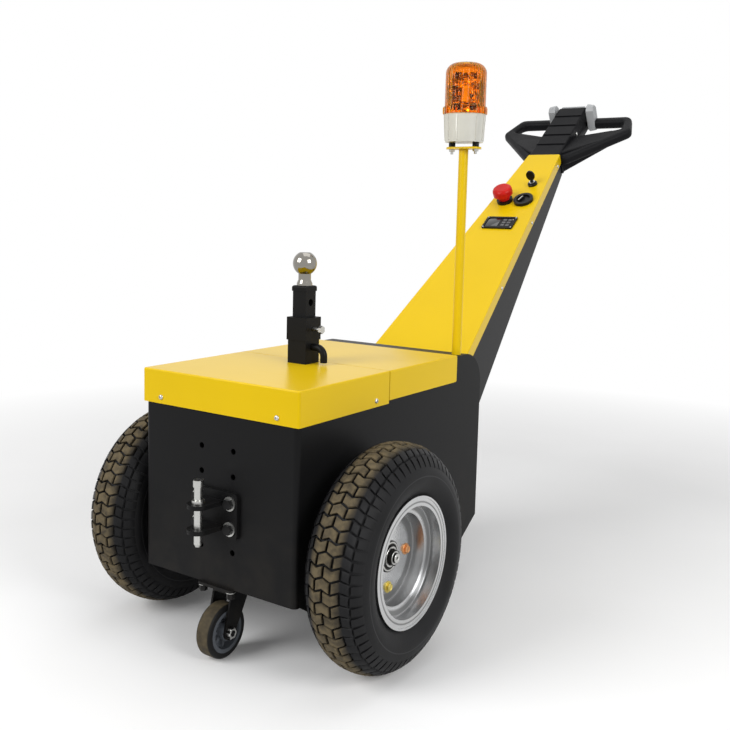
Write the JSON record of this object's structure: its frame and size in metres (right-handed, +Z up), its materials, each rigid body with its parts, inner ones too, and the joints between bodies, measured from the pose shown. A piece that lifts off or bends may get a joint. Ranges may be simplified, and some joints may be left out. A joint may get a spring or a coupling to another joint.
{
  "type": "walk-behind electric tow tug",
  "caption": "Yellow and black walk-behind electric tow tug with a tow ball post, pin bracket, tiller with loop grips, turf tyres, castors and an amber beacon.",
  "frame": {"origin": "on the floor, below the middle of the whole tug", "axes": "+Z up, +Y from the tow face towards the tiller's grips, +X across to the right seen from the tow face"},
  "size_m": [0.648, 1.7083, 1.1603],
  "materials": {
    "body_black": "satin black powder coat",
    "lid_yellow": "satin yellow powder coat",
    "tyre": "matte, dusty on the tread",
    "rim_silver": "satin silver",
    "hub_black": "satin black",
    "zinc": "bright zinc",
    "chrome": "polished",
    "head_plastic": "fine grain",
    "grey_plastic": "satin light grey",
    "red_plastic": "gloss",
    "panel_plastic": "gloss black",
    "beacon_white": "satin off-white",
    "amber": "clear amber",
    "reflector": "bright",
    "lamp_white": "satin",
    "castor_tread": "matte brown-grey",
    "castor_core": "matte",
    "dark_steel": "painted dark",
    "battery_case": "matte"
  },
  "bodies": {
    "chassis": {"body_wrap": "body_black", "floor_plate": "body_black", "rear_panel": "body_black", "front_lid": "lid_yellow", "ball_post": "body_black", "ball_sleeve": "body_black", "ball_shank": "body_black", "tow_ball": "chrome", "post_pin": "body_black", "set_bolt": "zinc", "tow_bracket": "body_black", "bracket_washers": "zinc", "bracket_bolts": "dark_steel", "tiller_column": "body_black", "tiller_cover": "lid_yellow", "tiller_head": "head_plastic", "throttle_left": "grey_plastic", "throttle_right": "grey_plastic", "reverse_button": "grey_plastic", "stop_base": "panel_plastic", "emergency_stop": "red_plastic", "charge_socket": "panel_plastic", "key_switch": "panel_plastic", "display": "panel_plastic", "beacon_pole": "lid_yellow", "beacon_plate": "lid_yellow", "beacon_feet": "hub_black", "beacon_base": "beacon_white", "beacon_lens": "amber", "beacon_reflector": "reflector", "beacon_lamp": "lamp_white", "front_castor_plate": "body_black", "rear_castor_plate": "body_black", "drive_unit": "dark_steel", "battery_pack": "battery_case"},
    "wheel_left": {"tyre_left": "tyre", "rim_left": "rim_silver", "hub_left": "hub_black"},
    "wheel_right": {"tyre_right": "tyre", "rim_right": "rim_silver", "hub_right": "hub_black"},
    "front_castor": {"front_castor_fork": "body_black"},
    "front_castor_wheel": {"front_castor_tread": "castor_tread", "front_castor_core": "castor_core"},
    "rear_castor": {"rear_castor_fork": "body_black"},
    "rear_castor_wheel": {"rear_castor_tread": "castor_tread", "rear_castor_core": "castor_core"},
    "rear_lid": {"rear_lid": "lid_yellow"},
    "tow_pin": {"tow_pin": "zinc"}
  },
  "joints": [
    {"name": "wheel_left_spin", "type": "hinge", "parent": "chassis", "child": "wheel_left", "pos_m": [-0.263, -0.62342, 0.205], "axis": [1, 0, 0], "continuous": true},
    {"name": "wheel_right_spin", "type": "hinge", "parent": "chassis", "child": "wheel_right", "pos_m": [0.263, -0.62342, 0.205], "axis": [1, 0, 0], "continuous": true},
    {"name": "front_castor_swivel", "type": "hinge", "parent": "chassis", "child": "front_castor", "pos_m": [0, -0.74342, 0.138], "axis": [0, 0, 1], "continuous": true},
    {"name": "front_castor_roll", "type": "hinge", "parent": "front_castor", "child": "front_castor_wheel", "pos_m": [0, -0.77342, 0.05], "axis": [1, 0, 0], "continuous": true},
    {"name": "rear_castor_swivel", "type": "hinge", "parent": "chassis", "child": "rear_castor", "pos_m": [0, -0.22342, 0.138], "axis": [0, 0, 1], "continuous": true},
    {"name": "rear_castor_roll", "type": "hinge", "parent": "rear_castor", "child": "rear_castor_wheel", "pos_m": [0, -0.25342, 0.05], "axis": [1, 0, 0], "continuous": true},
    {"name": "rear_lid_lift", "type": "slide", "parent": "chassis", "child": "rear_lid", "axis": [0, 0, 1], "range_m": [0, 0.12]},
    {"name": "tow_pin_lift", "type": "slide", "parent": "chassis", "child": "tow_pin", "axis": [0, 0, 1], "range_m": [0, 0.1]}
  ]
}
